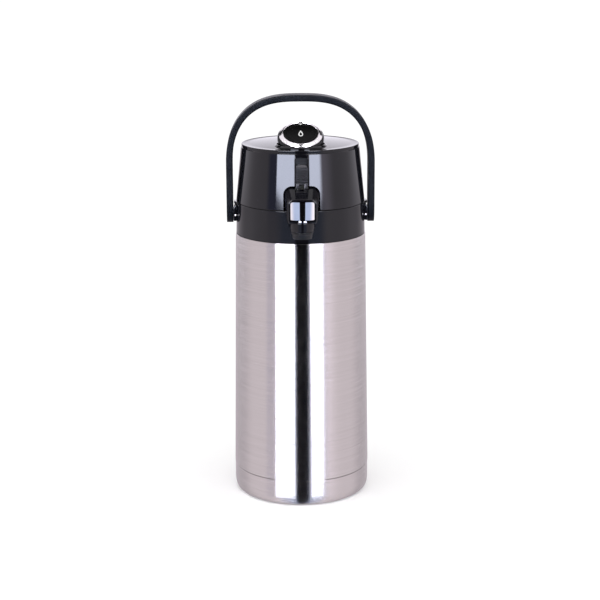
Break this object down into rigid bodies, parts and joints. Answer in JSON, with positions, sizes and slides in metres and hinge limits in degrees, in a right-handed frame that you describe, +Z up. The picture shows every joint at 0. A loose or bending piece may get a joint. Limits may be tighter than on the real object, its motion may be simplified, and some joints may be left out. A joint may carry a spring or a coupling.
{
  "type": "pump pot",
  "caption": "Tall insulated steel pump pot with a black lid, slanted push knob, hooded front spout, sliding lid latch and an arched carry handle.",
  "frame": {"origin": "centre of the foot pad's underside, where the pot's axis meets the table", "axes": "+Z up along the pot's axis, -Y towards the spout, +X towards the right-hand side seen from the spout's side"},
  "size_m": [0.1416, 0.1596, 0.3897],
  "materials": {
    "brushed_steel": "brushed round the body",
    "liner_steel": "plain drawn stainless",
    "pin_steel": "bright steel",
    "chrome": "mirror",
    "gloss_black": "polished",
    "handle_black": "satin",
    "matt_black": "fine grain",
    "natural_plastic": "moulded",
    "seal_rubber": "silicone",
    "black_rubber": "matte"
  },
  "bodies": {
    "pot": {"outer_shell": "brushed_steel", "base_cup": "brushed_steel", "foot_pad": "black_rubber", "liner_cushion": "black_rubber", "inner_liner": "liner_steel", "neck_seal": "seal_rubber", "collar": "gloss_black", "neck_deck": "matt_black", "hinge_pin": "pin_steel", "riser_head": "natural_plastic", "riser_duct": "natural_plastic", "siphon_tube": "liner_steel", "siphon_foot": "natural_plastic", "outlet_elbow": "natural_plastic", "spout_hood": "gloss_black", "hood_screw_left": "pin_steel", "hood_screw_right": "pin_steel", "spout_panel": "chrome", "spout_ring": "chrome", "spout_barrel": "gloss_black", "spout_nozzle": "matt_black", "handle_pin_left": "pin_steel", "handle_pin_right": "pin_steel", "pin_dowel_left": "pin_steel", "pin_dowel_right": "pin_steel"},
    "lid": {"lid_shell": "gloss_black", "lid_base": "matt_black", "lid_screw_right": "pin_steel", "lid_screw_rear": "pin_steel", "lid_screw_left": "pin_steel", "lid_gasket": "seal_rubber", "air_valve": "seal_rubber", "bellows": "seal_rubber", "pump_spring": "pin_steel", "latch_housing": "matt_black", "latch_spring": "pin_steel"},
    "latch": {"latch_slider": "matt_black"},
    "knob": {"knob_body": "gloss_black", "knob_plate": "matt_black", "knob_screw": "pin_steel", "knob_disc": "gloss_black"},
    "knob_ring": {"lock_ring": "chrome"},
    "bail": {"handle": "handle_black", "handle_bush_left": "natural_plastic", "handle_bush_right": "natural_plastic"}
  },
  "joints": [
    {"name": "handle_swing", "type": "hinge", "parent": "pot", "child": "bail", "pos_m": [0, 0, 0.279], "axis": [1, 0, 0], "range_deg": [-90, 90]},
    {"name": "lid_hinge", "type": "hinge", "parent": "pot", "child": "lid", "pos_m": [0, 0.066, 0.2879], "axis": [-1, 0, 0], "range_deg": [0, 14]},
    {"name": "latch_slide", "type": "slide", "parent": "lid", "child": "latch", "axis": [0, 0.0965, 0.9953], "range_m": [0, 0.004], "stiffness_N_per_m": 400, "springref_m": -0.002, "deforming": ["latch_spring"]},
    {"name": "knob_press", "type": "slide", "parent": "lid", "child": "knob", "axis": [0, 0, -1], "range_m": [0, 0.018], "stiffness_N_per_m": 600, "springref_m": -0.006, "deforming": ["bellows", "pump_spring"]},
    {"name": "lock_ring_turn", "type": "hinge", "parent": "knob", "child": "knob_ring", "pos_m": [0, -0.025, 0.3539], "axis": [0, -0.4772, 0.8788], "range_deg": [0, 35]}
  ]
}
